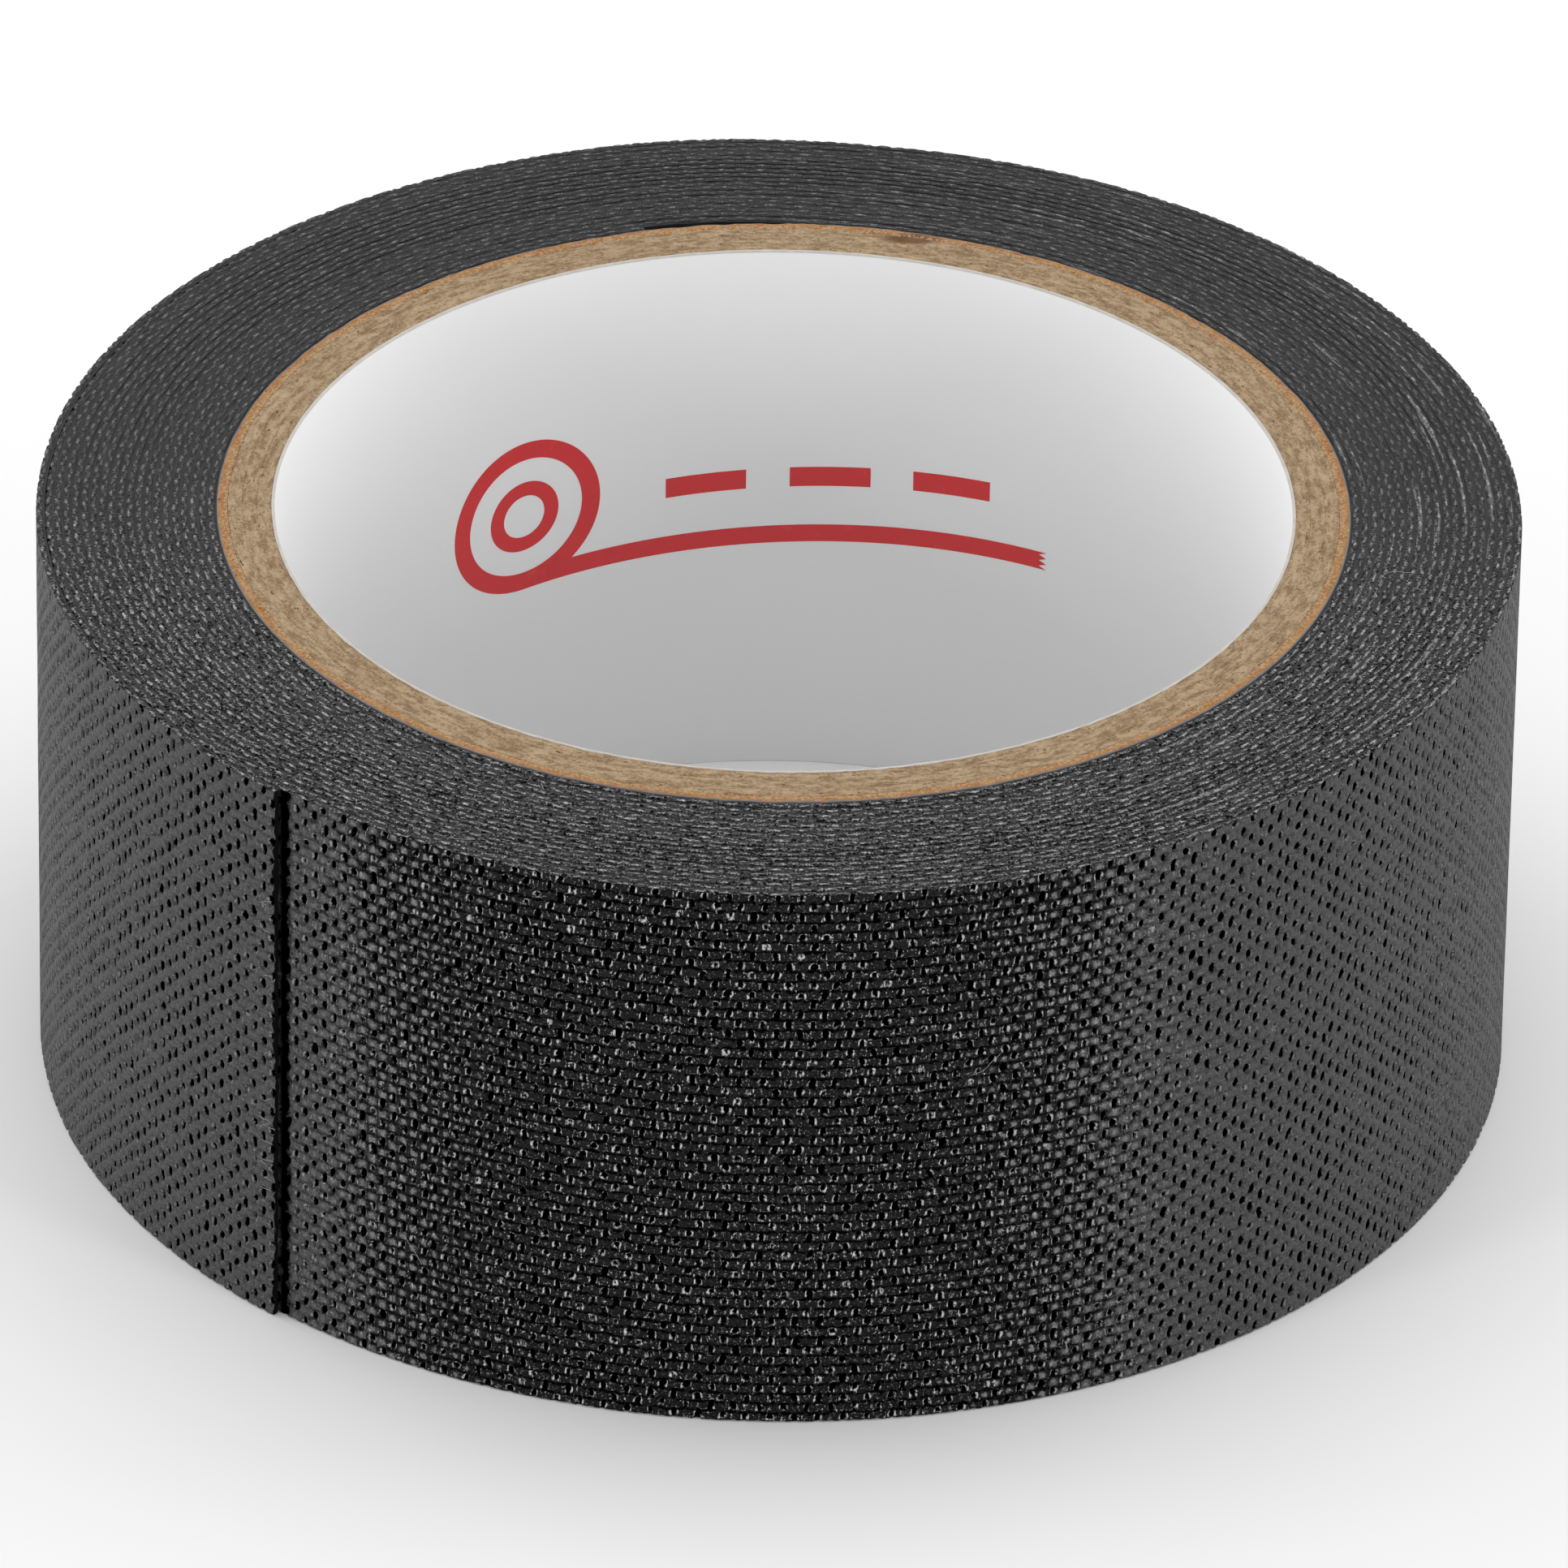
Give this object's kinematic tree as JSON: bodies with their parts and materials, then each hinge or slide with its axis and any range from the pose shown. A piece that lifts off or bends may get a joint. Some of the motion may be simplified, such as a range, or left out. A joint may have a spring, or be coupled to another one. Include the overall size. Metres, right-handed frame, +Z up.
{
  "type": "cloth tape roll",
  "caption": "Small roll of black woven cloth tape wound on a laminated paperboard core, with a free end that peels off.",
  "frame": {"origin": "middle of the core's bore at the lower side face, on which the roll lies", "axes": "+Z up along the core's axis; the cut free end lies at 229 degrees anticlockwise from +X"},
  "size_m": [0.0461, 0.046, 0.019],
  "materials": {
    "black_cloth": "plain-woven cloth with a black semi-gloss coating",
    "adhesive": "black tacky rubber adhesive",
    "liner_paper": "glossy white coated paper with a red printed mark",
    "chipboard": "cut edge of grey-brown recycled board, with flecks",
    "kraft_paper": "orange-brown kraft paper"
  },
  "bodies": {
    "root": {"core_liner_paper": "liner_paper", "core_chipboard_ply_1": "chipboard", "core_chipboard_ply_2": "chipboard", "core_chipboard_ply_3": "chipboard", "core_kraft_ply": "kraft_paper", "adhesive_inner_turns": "adhesive", "cloth_inner_turns": "black_cloth", "adhesive_outer_turn": "adhesive", "cloth_outer_turn": "black_cloth"},
    "tail_1": {"tail_adhesive_1": "adhesive", "tail_cloth_1": "black_cloth"},
    "tail_2": {"tail_adhesive_2": "adhesive", "tail_cloth_2": "black_cloth"},
    "tail_3": {"tail_adhesive_3": "adhesive", "tail_cloth_3": "black_cloth"},
    "tail_4": {"tail_adhesive_4": "adhesive", "tail_cloth_4": "black_cloth"},
    "tail_5": {"tail_adhesive_5": "adhesive", "tail_cloth_5": "black_cloth"},
    "tail_6": {"tail_adhesive_6": "adhesive", "tail_cloth_6": "black_cloth"},
    "tail_7": {"tail_adhesive_7": "adhesive", "tail_cloth_7": "black_cloth"},
    "tail_8": {"tail_adhesive_8": "adhesive", "tail_cloth_8": "black_cloth"}
  },
  "joints": [
    {"name": "peel_1", "type": "hinge", "parent": "root", "child": "tail_1", "pos_m": [-0.01582, 0.01697, 0.0095], "axis": [0, 0, -1], "range_deg": [0, 30]},
    {"name": "peel_2", "type": "hinge", "parent": "tail_1", "child": "tail_2", "pos_m": [-0.019, 0.01331, 0.0095], "axis": [0, 0, -1], "range_deg": [0, 24]},
    {"name": "peel_3", "type": "hinge", "parent": "tail_2", "child": "tail_3", "pos_m": [-0.02136, 0.00906, 0.0095], "axis": [0, 0, -1], "range_deg": [0, 18]},
    {"name": "peel_4", "type": "hinge", "parent": "tail_3", "child": "tail_4", "pos_m": [-0.02277, 0.00443, 0.0095], "axis": [0, 0, -1], "range_deg": [0, 12]},
    {"name": "peel_5", "type": "hinge", "parent": "tail_4", "child": "tail_5", "pos_m": [-0.0232, -0.0004, 0.0095], "axis": [0, 0, -1], "range_deg": [0, 12]},
    {"name": "peel_6", "type": "hinge", "parent": "tail_5", "child": "tail_6", "pos_m": [-0.02261, -0.00522, 0.0095], "axis": [0, 0, -1], "range_deg": [0, 12]},
    {"name": "peel_7", "type": "hinge", "parent": "tail_6", "child": "tail_7", "pos_m": [-0.02103, -0.0098, 0.0095], "axis": [0, 0, -1], "range_deg": [0, 12]},
    {"name": "peel_8", "type": "hinge", "parent": "tail_7", "child": "tail_8", "pos_m": [-0.01853, -0.01396, 0.0095], "axis": [0, 0, -1], "range_deg": [0, 12]}
  ],
  "couplings": [
    {"joint": "peel_2", "follows": "peel_1", "ratio": 0.8},
    {"joint": "peel_3", "follows": "peel_1", "ratio": 0.6},
    {"joint": "peel_4", "follows": "peel_1", "ratio": 0.4},
    {"joint": "peel_5", "follows": "peel_1", "ratio": 0.4},
    {"joint": "peel_6", "follows": "peel_1", "ratio": 0.4},
    {"joint": "peel_7", "follows": "peel_1", "ratio": 0.4},
    {"joint": "peel_8", "follows": "peel_1", "ratio": 0.4}
  ]
}
